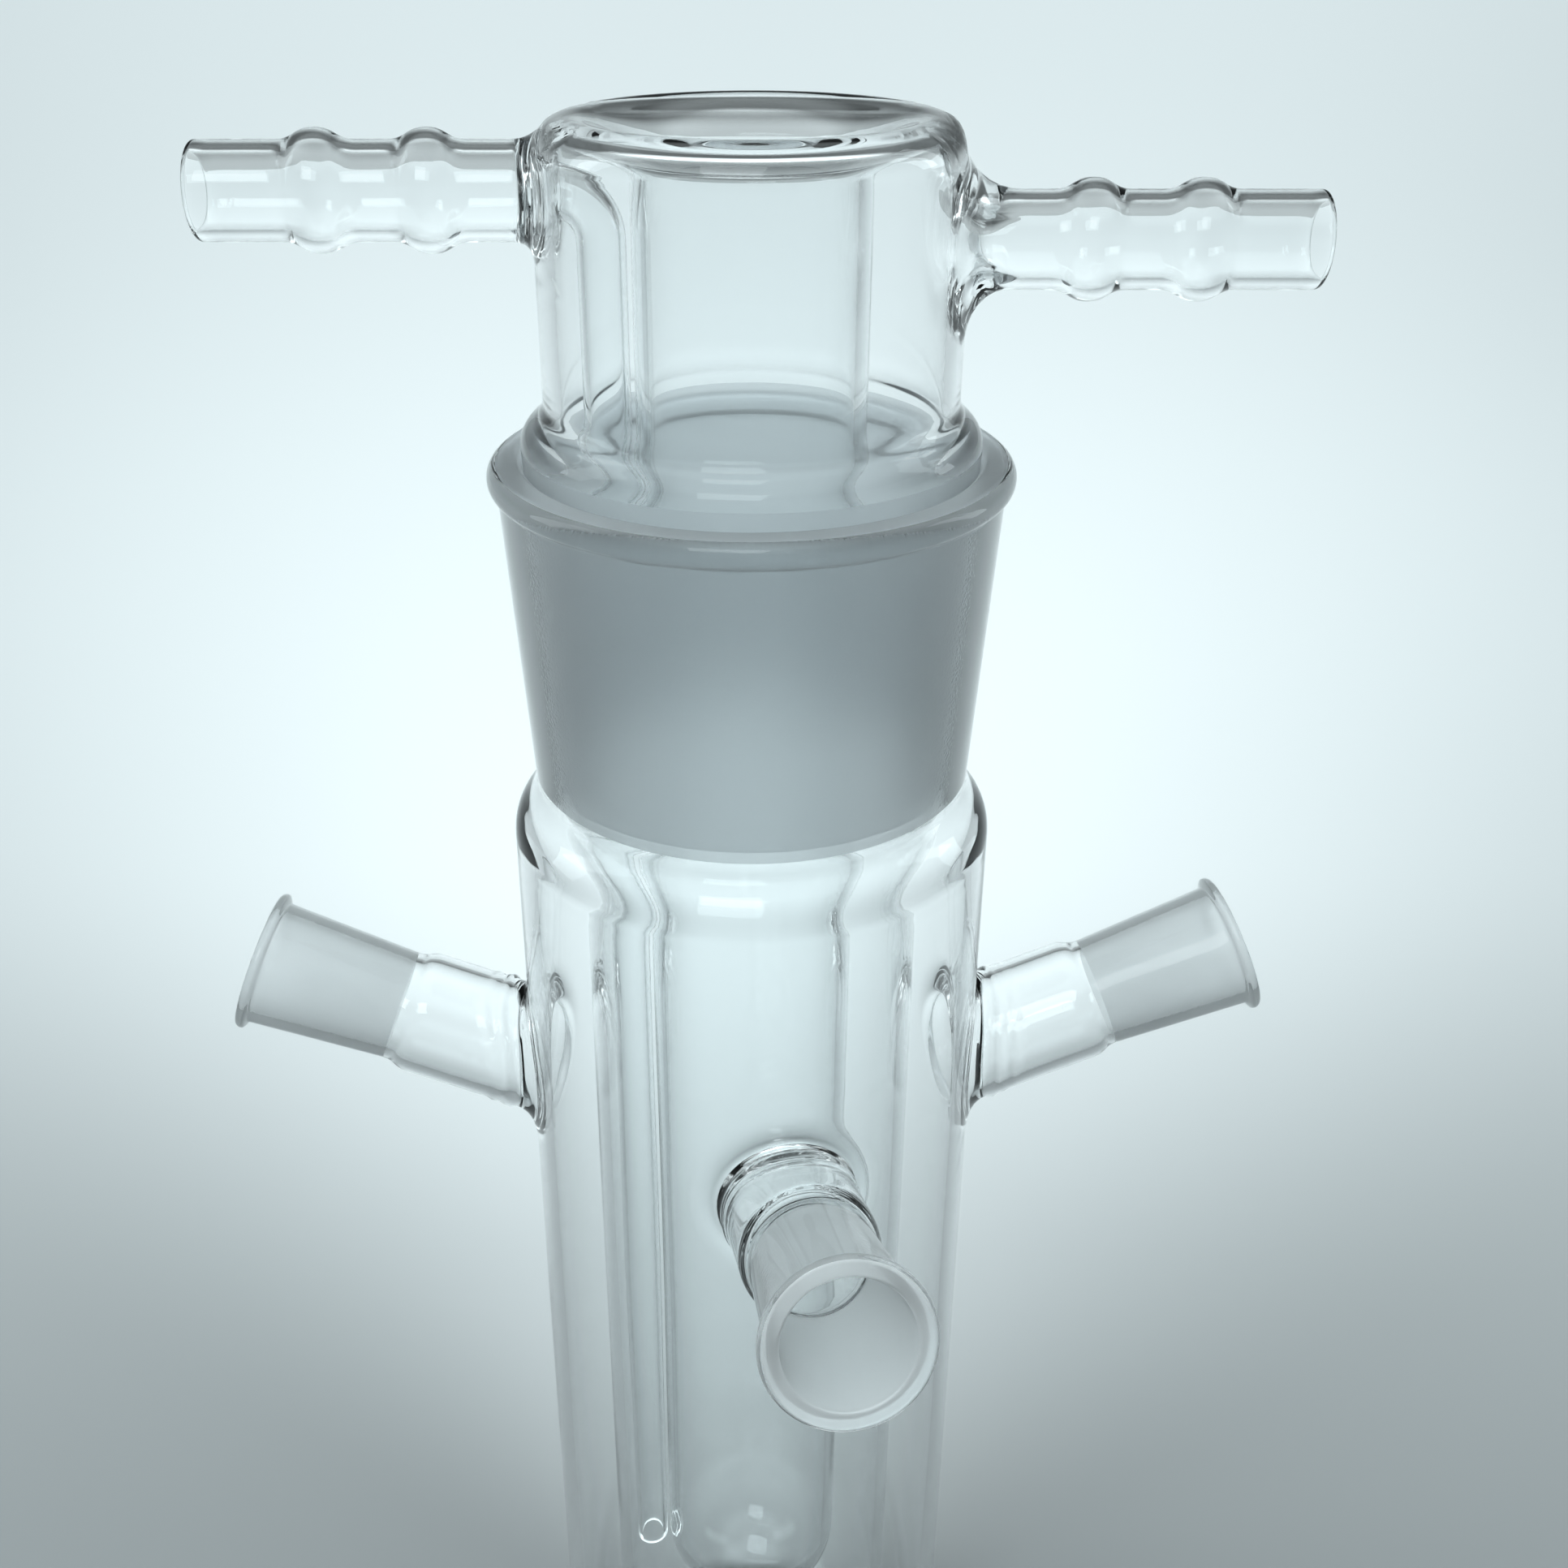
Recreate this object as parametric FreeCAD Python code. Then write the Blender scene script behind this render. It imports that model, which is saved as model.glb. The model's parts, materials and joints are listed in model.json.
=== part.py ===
import FreeCAD, Part
import math
import os

# Immersion well photoreactor in borosilicate glass, +Z up, millimetres.
# The origin is the centre of the vessel's resting face.

# Vessel
VESSEL_RADIUS = 34.2
VESSEL_WALL = 2.5
VESSEL_HEIGHT = 258.0
BASE_CORNER = 8.0
VESSEL_SHOULDER = 9.0

# Main ground joint, taper 1 in 10 on the diameter
JOINT_RADIUS = 30.0
JOINT_LENGTH = 46.0
JOINT_SLOPE = 0.05
JOINT_CLEARANCE = 0.05
SOCKET_LENGTH = 45.6
SOCKET_WALL_TOP = 3.6
SOCKET_WALL_LOW = 2.9
BEAD_WALL = 4.7
BEAD_HEIGHT = 3.8
BEAD_LIP = 0.9
CONE_PROUD = 2.1
CONE_WALL = 2.8

# Well: head, water jacket and lamp tube
HEAD_HEIGHT = 42.0
HEAD_RADIUS = 26.9
HEAD_WALL = 2.3
HEAD_FLARE = 6.0
SEAL_RADIUS = 4.5
SEAL_DROP = 7.0
SEAL_FULLNESS = 0.42
JACKET_RADIUS = 24.6
JACKET_WALL = 2.0
JACKET_STEP = 8.5
JACKET_FLOOR_GAP = 25.0
LAMP_RADIUS = 15.0
LAMP_WALL = 1.8
LAMP_FLOOR_GAP = 19.0

# Hose barbs
BARB_RADIUS = 6.0
BARB_WALL = 1.4
BARB_LENGTH = 41.3
OUTLET_STAND = 2.6
OLIVE_RADIUS = 7.4
OLIVE_HALF_LENGTH = 4.8
OLIVE_FROM_TIP = 15.2
OLIVE_PITCH = 13.6
OLIVES = 2
INLET_DEPTH = 9.0
OUTLET_DEPTH = 14.8
INLET_WELD = 2.4
OUTLET_WELD = 5.6

# Dip tube
DIP_RADIUS = 3.2
DIP_WALL = 0.9
ELBOW_BEND = 6.0
DIP_END_LIFT = 3.5

# Side necks
NECK_TILT = 20.0
NECK_AZIMUTHS = {"right": 6.8, "front": -81.5, "left": 177.0}
NECK_ROOT_HEIGHT = 160.3
NECK_RADIUS = 9.5
NECK_WALL = 1.5
NECK_TUBE_LENGTH = 22.2
NECK_WAIST = 4.0
NECK_WELD = 4.0
SIDE_JOINT_RADIUS = 8.2
SIDE_JOINT_LENGTH = 23.0
SIDE_SOCKET_WALL = 1.5
SIDE_BEAD_WALL = 2.8
SIDE_BEAD_HEIGHT = 2.8
SIDE_LIP = 0.6

# Levels worked out from the sizes above
SOCKET_FOOT_Z = VESSEL_HEIGHT - SOCKET_LENGTH
WALL_TOP_Z = SOCKET_FOOT_Z - VESSEL_SHOULDER
BEAD_FOOT_Z = VESSEL_HEIGHT - BEAD_HEIGHT
RIDGE_Z = VESSEL_HEIGHT + HEAD_HEIGHT
CONE_TOP_Z = VESSEL_HEIGHT + CONE_PROUD
CONE_FOOT_Z = CONE_TOP_Z - JOINT_LENGTH
FLARE_TOP_Z = CONE_TOP_Z + HEAD_FLARE
SEAL_FOOT_Z = RIDGE_Z - SEAL_RADIUS
LAMP_TOP_Z = RIDGE_Z - SEAL_DROP
JACKET_TOP_Z = CONE_FOOT_Z - JACKET_STEP
JACKET_DOME_Z = JACKET_FLOOR_GAP + JACKET_RADIUS
LAMP_DOME_Z = JACKET_FLOOR_GAP + LAMP_FLOOR_GAP + LAMP_RADIUS
INLET_Z = RIDGE_Z - INLET_DEPTH
OUTLET_Z = RIDGE_Z - OUTLET_DEPTH
HEAD_BORE = HEAD_RADIUS - HEAD_WALL
JACKET_BORE = JACKET_RADIUS - JACKET_WALL
LAMP_BORE = LAMP_RADIUS - LAMP_WALL
BARB_BORE = BARB_RADIUS - BARB_WALL
DIP_BORE = DIP_RADIUS - DIP_WALL
NECK_BORE = NECK_RADIUS - NECK_WALL
DIP_X = (LAMP_RADIUS + JACKET_BORE) / 2
DIP_END_Z = JACKET_DOME_Z + DIP_END_LIFT
NECK_WALL_POINT = VESSEL_RADIUS / math.cos(math.radians(NECK_TILT))
NECK_AXIS_Z = NECK_ROOT_HEIGHT - VESSEL_RADIUS * math.tan(math.radians(NECK_TILT))
NECK_JOINT_START = NECK_WALL_POINT + NECK_TUBE_LENGTH
NECK_MOUTH = NECK_JOINT_START + SIDE_JOINT_LENGTH
SIDE_FOOT_RADIUS = SIDE_JOINT_RADIUS - SIDE_JOINT_LENGTH * JOINT_SLOPE
FULL_TURN = 360.0
ORIGIN = FreeCAD.Vector(0, 0, 0)
UP = FreeCAD.Vector(0, 0, 1)
ACROSS = FreeCAD.Vector(0, 1, 0)

# Gap below which an edge counts as lying on a shape's skin
CONTACT = 0.001


def at(radius, height):
    """Point of a turning profile."""
    return FreeCAD.Vector(radius, 0, height)


def bend(centre_radius, centre_height, radius, start, end):
    """Arc step of a profile about a centre, between two angles in degrees."""
    def on_arc(angle):
        turn = math.radians(angle)
        return at(centre_radius + radius * math.cos(turn), centre_height + radius * math.sin(turn))

    return on_arc((start + end) / 2), on_arc(end)


def sway(radius, height, to_radius, to_height):
    """S-shaped step of a profile that leaves and arrives along the axis."""
    middle = (height + to_height) / 2
    return [at(radius, middle), at(to_radius, middle), at(to_radius, to_height)]


def turned(start, *steps):
    """Solid of revolution about Z.

    A step is a point for a straight edge, a pair (middle, end) for an arc,
    or a list of poles for a smooth curve. The profile closes by itself.
    """
    edges = []
    here = start
    for step in steps:
        if isinstance(step, tuple):
            end = step[1]
            edges.append(Part.Arc(here, step[0], end).toShape())
        elif isinstance(step, list):
            end = step[-1]
            curve = Part.BezierCurve()
            curve.setPoles([here] + step)
            edges.append(curve.toShape())
        else:
            end = step
            edges.append(Part.LineSegment(here, end).toShape())
        here = end
    edges.append(Part.LineSegment(here, start).toShape())
    return Part.Face(Part.Wire(edges)).revolve(ORIGIN, UP, FULL_TURN)


def tube(radius, bore, low, high):
    """Straight tube along Z."""
    return turned(at(bore, low), at(radius, low), at(radius, high), at(bore, high))


def rod(radius, low, high):
    """Straight solid rod along Z."""
    return Part.makeCylinder(radius, high - low, at(0, low), UP)


def joint_bore(height):
    """Radius of the main ground bore at a height."""
    return JOINT_RADIUS + (height - VESSEL_HEIGHT) * JOINT_SLOPE


def cone_face(height):
    """Radius of the ground cone at a height, a clearance inside the bore."""
    return joint_bore(height) - JOINT_CLEARANCE


def to_neck(shape, azimuth):
    """Move a shape built along Z onto a side neck's axis."""
    placed = shape.copy()
    placed.rotate(ORIGIN, ACROSS, 90 - NECK_TILT)
    placed.rotate(ORIGIN, UP, azimuth)
    placed.translate(at(0, NECK_AXIS_Z))
    return placed


def to_barb(shape, height, side):
    """Move a shape built along Z onto a hose barb's axis, side +1 or -1."""
    placed = shape.copy()
    placed.rotate(ORIGIN, ACROSS, 90 * side)
    placed.translate(at(0, height))
    return placed


def weld(body, branch, size, reach):
    """Fillet of glass where a branch leaves a body.

    reach keeps only edges farther than that from the Z axis.
    """
    joined = body.fuse(branch)
    root = [
        edge
        for edge in joined.Edges
        if touches(edge, body) and touches(edge, branch) and away(edge) > reach
    ]
    return joined.makeFillet(size, root).cut(body).cut(branch)


def touches(edge, shape):
    """Whether the middle of an edge lies on the skin of a shape."""
    middle = edge.valueAt((edge.FirstParameter + edge.LastParameter) / 2)
    return shape.Shells[0].distToShape(Part.Vertex(middle))[0] < CONTACT


def away(edge):
    """Distance of an edge's middle from the Z axis."""
    middle = edge.valueAt((edge.FirstParameter + edge.LastParameter) / 2)
    return math.hypot(middle.x, middle.y)


def vessel_base():
    """Flat resting disc with its rounded corner."""
    corner = VESSEL_RADIUS - BASE_CORNER
    return turned(
        at(0, 0),
        at(corner, 0),
        bend(corner, BASE_CORNER, BASE_CORNER, -90, 0),
        at(VESSEL_RADIUS - VESSEL_WALL, BASE_CORNER),
        bend(corner, BASE_CORNER, BASE_CORNER - VESSEL_WALL, 0, -90),
        at(0, VESSEL_WALL),
    )


def vessel_shoulder():
    """Curve from the straight wall in to the foot of the main socket."""
    foot = joint_bore(SOCKET_FOOT_Z)
    bore = VESSEL_RADIUS - VESSEL_WALL
    return turned(
        at(VESSEL_RADIUS, WALL_TOP_Z),
        sway(VESSEL_RADIUS, WALL_TOP_Z, foot + SOCKET_WALL_LOW, SOCKET_FOOT_Z),
        at(foot, SOCKET_FOOT_Z),
        sway(foot, SOCKET_FOOT_Z, bore, WALL_TOP_Z),
    )


def main_socket():
    """Ground female joint below its bead."""
    foot = joint_bore(SOCKET_FOOT_Z)
    top = joint_bore(BEAD_FOOT_Z)
    return turned(
        at(foot, SOCKET_FOOT_Z),
        at(foot + SOCKET_WALL_LOW, SOCKET_FOOT_Z),
        at(top + SOCKET_WALL_TOP, BEAD_FOOT_Z),
        at(top, BEAD_FOOT_Z),
    )


def main_socket_bead():
    """Thick rolled rim around the mouth of the main socket."""
    foot = joint_bore(BEAD_FOOT_Z)
    belly = JOINT_RADIUS + BEAD_WALL
    half = BEAD_HEIGHT / 2
    lip = BEAD_LIP
    return turned(
        at(foot, BEAD_FOOT_Z),
        at(belly - half, BEAD_FOOT_Z),
        bend(belly - half, BEAD_FOOT_Z + half, half, -90, 90),
        at(JOINT_RADIUS + lip, VESSEL_HEIGHT),
        [at(JOINT_RADIUS, VESSEL_HEIGHT), at(joint_bore(VESSEL_HEIGHT - lip), VESSEL_HEIGHT - lip)],
    )


def neck_tube():
    """Clear side tube along Z, narrowing to the foot of its ground socket."""
    waist = NECK_JOINT_START - NECK_WAIST
    foot = SIDE_FOOT_RADIUS + SIDE_SOCKET_WALL
    start = VESSEL_RADIUS / 2
    return turned(
        at(NECK_BORE, start),
        at(NECK_RADIUS, start),
        at(NECK_RADIUS, waist),
        sway(NECK_RADIUS, waist, foot, NECK_JOINT_START),
        at(SIDE_FOOT_RADIUS, NECK_JOINT_START),
        sway(SIDE_FOOT_RADIUS, NECK_JOINT_START, NECK_BORE, waist),
    )


def neck_socket():
    """Ground side socket along Z with its small bead."""
    half = SIDE_BEAD_HEIGHT / 2
    belly = SIDE_JOINT_RADIUS + SIDE_BEAD_WALL
    collar = NECK_MOUTH - SIDE_BEAD_HEIGHT
    lip_bore = SIDE_JOINT_RADIUS - SIDE_LIP * JOINT_SLOPE
    return turned(
        at(SIDE_FOOT_RADIUS, NECK_JOINT_START),
        at(SIDE_FOOT_RADIUS + SIDE_SOCKET_WALL, NECK_JOINT_START),
        at(SIDE_JOINT_RADIUS + SIDE_SOCKET_WALL - SIDE_BEAD_HEIGHT * JOINT_SLOPE, collar),
        at(belly - half, collar),
        bend(belly - half, collar + half, half, -90, 90),
        at(SIDE_JOINT_RADIUS + SIDE_LIP, NECK_MOUTH),
        [at(SIDE_JOINT_RADIUS, NECK_MOUTH), at(lip_bore, NECK_MOUTH - SIDE_LIP)],
    )


def ring_seal():
    """Rounded top that joins the head's wall to the lamp tube."""
    ridge = HEAD_RADIUS - SEAL_RADIUS
    under = RIDGE_Z - HEAD_WALL
    mouth_run = (ridge - LAMP_BORE) * SEAL_FULLNESS
    under_run = (ridge - LAMP_RADIUS) * SEAL_FULLNESS
    drop = (RIDGE_Z - LAMP_TOP_Z) * SEAL_FULLNESS
    under_drop = (under - LAMP_TOP_Z) * SEAL_FULLNESS
    return turned(
        at(HEAD_RADIUS, SEAL_FOOT_Z),
        bend(ridge, SEAL_FOOT_Z, SEAL_RADIUS, 0, 90),
        [at(ridge - mouth_run, RIDGE_Z), at(LAMP_BORE, LAMP_TOP_Z + drop), at(LAMP_BORE, LAMP_TOP_Z)],
        at(LAMP_RADIUS, LAMP_TOP_Z),
        [at(LAMP_RADIUS, LAMP_TOP_Z + under_drop), at(ridge - under_run, under), at(ridge, under)],
        bend(ridge, SEAL_FOOT_Z, SEAL_RADIUS - HEAD_WALL, 90, 0),
    )


def head_tube():
    """Head wall with the flare down to the ground cone."""
    cone = cone_face(CONE_TOP_Z)
    return turned(
        at(HEAD_RADIUS, SEAL_FOOT_Z),
        at(HEAD_RADIUS, FLARE_TOP_Z),
        sway(HEAD_RADIUS, FLARE_TOP_Z, cone, CONE_TOP_Z),
        at(cone - CONE_WALL, CONE_TOP_Z),
        sway(cone - CONE_WALL, CONE_TOP_Z, HEAD_BORE, FLARE_TOP_Z),
        at(HEAD_BORE, SEAL_FOOT_Z),
    )


def ground_cone():
    """Ground male joint of the well."""
    top = cone_face(CONE_TOP_Z)
    foot = cone_face(CONE_FOOT_Z)
    return turned(
        at(top, CONE_TOP_Z),
        at(foot, CONE_FOOT_Z),
        at(foot - CONE_WALL, CONE_FOOT_Z),
        at(top - CONE_WALL, CONE_TOP_Z),
    )


def jacket_step():
    """Curve from the cone's foot in to the lower jacket."""
    foot = cone_face(CONE_FOOT_Z)
    return turned(
        at(foot, CONE_FOOT_Z),
        sway(foot, CONE_FOOT_Z, JACKET_RADIUS, JACKET_TOP_Z),
        at(JACKET_BORE, JACKET_TOP_Z),
        sway(JACKET_BORE, JACKET_TOP_Z, foot - CONE_WALL, CONE_FOOT_Z),
    )


def round_end(radius, wall, centre_height):
    """Half-round closed end of a tube."""
    return turned(
        at(radius, centre_height),
        bend(0, centre_height, radius, 0, -90),
        at(0, centre_height - radius + wall),
        bend(0, centre_height, radius - wall, -90, 0),
    )


def hose_barb(length):
    """Hose tube along Z with two blown olives and a fire-polished tip."""
    tip = HEAD_RADIUS + length
    half = BARB_WALL / 2
    outer = []
    inner = []
    for olive in reversed(range(OLIVES)):
        centre = tip - OLIVE_FROM_TIP - OLIVE_PITCH * olive
        low = centre - OLIVE_HALF_LENGTH
        high = centre + OLIVE_HALF_LENGTH
        belly = OLIVE_RADIUS - BARB_WALL
        outer += [
            at(BARB_RADIUS, low),
            sway(BARB_RADIUS, low, OLIVE_RADIUS, centre),
            sway(OLIVE_RADIUS, centre, BARB_RADIUS, high),
        ]
        inner += [
            at(BARB_BORE, low),
            sway(BARB_BORE, low, belly, centre),
            sway(belly, centre, BARB_BORE, high),
        ]
    skin = turned(
        at(0, HEAD_BORE - BARB_RADIUS),
        at(BARB_RADIUS, HEAD_BORE - BARB_RADIUS),
        *outer,
        at(BARB_RADIUS, tip - half),
        (at(BARB_RADIUS - half, tip), at(BARB_BORE, tip - half)),
        at(0, tip - half),
    )
    core = turned(
        at(0, 0),
        at(BARB_BORE, 0),
        *inner,
        at(BARB_BORE, tip),
        at(0, tip),
    )
    return skin.cut(core)


def dip_elbow():
    """Bend that takes the inlet water down into the dip tube."""
    turn_x = -DIP_X - ELBOW_BEND
    wall_x = -math.sqrt(HEAD_BORE ** 2 - DIP_RADIUS ** 2)
    bend_top = FreeCAD.Vector(turn_x, 0, INLET_Z)
    low = FreeCAD.Vector(-DIP_X, 0, INLET_Z - ELBOW_BEND)
    slant = ELBOW_BEND * math.sin(math.radians(45))
    middle = FreeCAD.Vector(turn_x + slant, 0, INLET_Z - ELBOW_BEND + slant)
    start = FreeCAD.Vector(-HEAD_RADIUS, 0, INLET_Z)
    line = Part.LineSegment(start, bend_top).toShape()
    arc = Part.Arc(bend_top, middle, low).toShape()
    path = Part.Wire([line, arc])

    def swept(radius):
        ring = Part.Wire(Part.Circle(start, FreeCAD.Vector(1, 0, 0), radius).toShape())
        return path.makePipeShell([ring], True, False)

    elbow = swept(DIP_RADIUS).cut(swept(DIP_BORE))
    return elbow.common(rod(HEAD_BORE, LAMP_DOME_Z, RIDGE_Z))


def dip_tube():
    """Straight tube from the elbow down to the bottom of the jacket."""
    placed = tube(DIP_RADIUS, DIP_BORE, DIP_END_Z, INLET_Z - ELBOW_BEND)
    placed.translate(FreeCAD.Vector(-DIP_X, 0, 0))
    return placed


def build():
    """All nodes by name."""
    nodes = {
        "vessel_base": vessel_base(),
        "vessel_shoulder": vessel_shoulder(),
        "main_socket": main_socket(),
        "main_socket_bead": main_socket_bead(),
        "ring_seal": ring_seal(),
        "ground_cone": ground_cone(),
        "jacket_step": jacket_step(),
        "jacket_tube": tube(JACKET_RADIUS, JACKET_BORE, JACKET_DOME_Z, JACKET_TOP_Z),
        "jacket_dome": round_end(JACKET_RADIUS, JACKET_WALL, JACKET_DOME_Z),
        "lamp_tube": tube(LAMP_RADIUS, LAMP_BORE, LAMP_DOME_Z, LAMP_TOP_Z),
        "lamp_dome": round_end(LAMP_RADIUS, LAMP_WALL, LAMP_DOME_Z),
        "dip_elbow": dip_elbow(),
        "dip_tube": dip_tube(),
    }

    vessel_skin = rod(VESSEL_RADIUS, BASE_CORNER, WALL_TOP_Z)
    wall = tube(VESSEL_RADIUS, VESSEL_RADIUS - VESSEL_WALL, BASE_CORNER, WALL_TOP_Z)
    for side, turn in NECK_AZIMUTHS.items():
        branch = to_neck(rod(NECK_RADIUS, VESSEL_RADIUS / 2, NECK_JOINT_START - NECK_WAIST), turn)
        wall = wall.cut(to_neck(rod(NECK_BORE, VESSEL_RADIUS / 2, NECK_MOUTH), turn))
        nodes[side + "_neck_tube"] = to_neck(neck_tube(), turn).cut(vessel_skin)
        nodes[side + "_neck_socket"] = to_neck(neck_socket(), turn)
        nodes[side + "_neck_weld"] = weld(vessel_skin, branch, NECK_WELD, VESSEL_RADIUS / 2)
    nodes["vessel_wall"] = wall

    head_skin = turned(
        at(0, FLARE_TOP_Z),
        at(HEAD_RADIUS, FLARE_TOP_Z),
        at(HEAD_RADIUS, SEAL_FOOT_Z),
        bend(HEAD_RADIUS - SEAL_RADIUS, SEAL_FOOT_Z, SEAL_RADIUS, 0, 90),
        at(0, RIDGE_Z),
    )
    head = head_tube()
    for name, height, side, size, length in (
        ("inlet", INLET_Z, -1, INLET_WELD, BARB_LENGTH),
        ("outlet", OUTLET_Z, 1, OUTLET_WELD, BARB_LENGTH + OUTLET_STAND),
    ):
        stub = rod(BARB_RADIUS, HEAD_BORE - BARB_RADIUS, HEAD_RADIUS + OLIVE_FROM_TIP)
        nodes[name + "_barb"] = to_barb(hose_barb(length), height, side).cut(head_skin)
        nodes[name + "_weld"] = weld(head_skin, to_barb(stub, height, side), size, LAMP_RADIUS)
    inlet_port = Part.makeCone(DIP_BORE, BARB_BORE, HEAD_WALL, at(0, HEAD_BORE), UP)
    head = head.cut(to_barb(inlet_port.fuse(rod(DIP_BORE, LAMP_RADIUS, HEAD_RADIUS)), INLET_Z, -1))
    head = head.cut(to_barb(rod(BARB_BORE, LAMP_RADIUS, HEAD_RADIUS + BARB_WALL), OUTLET_Z, 1))
    nodes["head_tube"] = head
    return nodes


os.makedirs("parts", exist_ok=True)
for node_name, shape in build().items():
    shape.exportStep("parts/" + node_name + ".step")
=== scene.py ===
"""Looks of an immersion well photoreactor in clear and ground glass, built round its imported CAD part."""

import json
import logging
import math
from dataclasses import dataclass, field
from enum import Enum

import bmesh
import bpy
import numpy as np
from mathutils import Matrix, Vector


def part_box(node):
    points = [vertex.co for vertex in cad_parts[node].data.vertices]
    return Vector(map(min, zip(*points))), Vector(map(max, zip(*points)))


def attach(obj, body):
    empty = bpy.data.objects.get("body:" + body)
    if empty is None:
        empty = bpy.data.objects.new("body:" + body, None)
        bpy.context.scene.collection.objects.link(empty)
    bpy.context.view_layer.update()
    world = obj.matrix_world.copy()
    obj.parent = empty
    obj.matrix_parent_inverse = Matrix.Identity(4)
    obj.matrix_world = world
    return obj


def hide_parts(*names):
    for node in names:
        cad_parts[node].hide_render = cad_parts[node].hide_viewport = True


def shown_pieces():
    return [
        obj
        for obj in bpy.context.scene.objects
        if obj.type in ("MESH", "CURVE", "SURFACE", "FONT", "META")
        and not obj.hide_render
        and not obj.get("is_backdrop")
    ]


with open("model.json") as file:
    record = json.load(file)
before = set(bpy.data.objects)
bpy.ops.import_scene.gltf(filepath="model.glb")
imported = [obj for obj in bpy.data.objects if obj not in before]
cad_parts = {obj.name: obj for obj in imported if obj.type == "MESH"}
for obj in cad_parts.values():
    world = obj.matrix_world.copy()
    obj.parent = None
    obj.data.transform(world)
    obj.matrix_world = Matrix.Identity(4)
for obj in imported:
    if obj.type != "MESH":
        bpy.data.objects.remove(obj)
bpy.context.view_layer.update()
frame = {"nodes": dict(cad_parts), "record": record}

MM = 0.001
LOG = logging.getLogger("photoreactor")

SLACK = 0.01 * MM  # how far past a stretch's end a vertex may lie and still count
POLE = 0.001 * MM  # radius below which a row is a single point
STEEP = 0.9  # upward share of a direction past which "up" can't help to square it
JOINT_TAPER = 20  # length for each unit of radius on a ground joint

# The blend where a branch leaves a wall.
ROOT_SHARE = 0.82  # most of the way to the window's edge that the blend may take
ROOT_FLAT_STEPS = 5
ROOT_BEND_STEPS = 8
ROOT_EASE_STEPS = 13
MEET_STEPS = 40  # halvings in the search for the wall along a branch

# Rings that welding left on a side neck: distance past the root, and share of the full height.
RINGS = ((1.3 * MM, 1.0), (3.4 * MM, 0.45))
RING_WIDTH = 0.75 * MM
RING_WANDER = 0.22


class Finish(Enum):
    """Which surface a band of glass wears; the value is its place in a shell's materials."""

    CLEAR = 0
    GROUND = 1
    FINE = 2


def adopt(name: str, data: bpy.types.ID) -> bpy.types.Object:
    """Make an object and put it in the scene.

    Args:
        name: Name of the object.
        data: Its mesh, light or camera.

    Returns:
        The object, at the origin.
    """
    made = bpy.data.objects.new(name, data)
    bpy.context.scene.collection.objects.link(made)
    return made


# ---------------------------------------------------------------- measuring the CAD part


@dataclass(frozen=True)
class Axis:
    """Line that a round piece is turned about, in the CAD frame."""

    origin: np.ndarray
    direction: np.ndarray

    def across(self) -> tuple[np.ndarray, np.ndarray]:
        """Square two directions to the axis.

        Returns:
            Two unit vectors, square to the axis and to each other.
        """
        steep = abs(self.direction[2]) >= STEEP
        helper = np.array([1.0, 0.0, 0.0]) if steep else np.array([0.0, 0.0, 1.0])
        first = np.cross(helper, self.direction)
        first /= np.linalg.norm(first)
        return first, np.cross(self.direction, first)

    def along(self, points: np.ndarray) -> np.ndarray:
        """Distance of points along the axis from its origin."""
        return (points - self.origin) @ self.direction

    def reach(self, points: np.ndarray) -> np.ndarray:
        """Distance of points from the axis."""
        offset = points - self.origin
        return np.linalg.norm(offset - np.outer(offset @ self.direction, self.direction), axis=1)

    def turn(self, points: np.ndarray) -> np.ndarray:
        """Angle of points round the axis.

        Args:
            points: Points to measure.

        Returns:
            One angle for each point, in radians.
        """
        first, second = self.across()
        offset = points - self.origin
        return np.arctan2(offset @ second, offset @ first)

    def place(self, radius: np.ndarray | float, turns: np.ndarray, along: np.ndarray | float) -> np.ndarray:
        """Points at a radius from the axis.

        Args:
            radius: Distance from the axis, one value or one for each angle.
            turns: Angles round the axis, in radians.
            along: Distance along the axis, one value or one for each angle.

        Returns:
            One point for each angle.
        """
        first, second = self.across()
        ring = np.outer(np.cos(turns), first) + np.outer(np.sin(turns), second)
        steps = np.broadcast_to(along, turns.shape)
        reach = np.broadcast_to(radius, turns.shape)
        return self.origin + reach[:, None] * ring + np.outer(steps, self.direction)


UPRIGHT = Axis(np.zeros(3), np.array([0.0, 0.0, 1.0]))


def node_points(node: str) -> np.ndarray:
    """Vertices of a CAD node.

    Args:
        node: Name of the CAD node.

    Returns:
        One row for each vertex, in metres.
    """
    mesh = frame["nodes"][node].data
    flat = np.empty(len(mesh.vertices) * 3, np.float32)
    mesh.vertices.foreach_get("co", flat)
    return flat.reshape(-1, 3).astype(float)


@dataclass(frozen=True)
class Gauge:
    """Reach of a CAD node along and round an axis."""

    low: float
    high: float
    inner: float
    outer: float

    @staticmethod
    def of(node: str, axis: Axis = UPRIGHT, low: float = -math.inf, high: float = math.inf) -> "Gauge":
        """Measure a node between two distances along an axis.

        Args:
            node: Name of the CAD node.
            axis: Line to measure from.
            low: Start of the stretch that counts.
            high: End of the stretch that counts.

        Returns:
            The reach of the vertices in that stretch.
        """
        points = node_points(node)
        along = axis.along(points)
        kept = (along > low - SLACK) & (along < high + SLACK)
        reach = axis.reach(points)[kept]
        return Gauge(along[kept].min(), along[kept].max(), reach.min(), reach.max())


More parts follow.
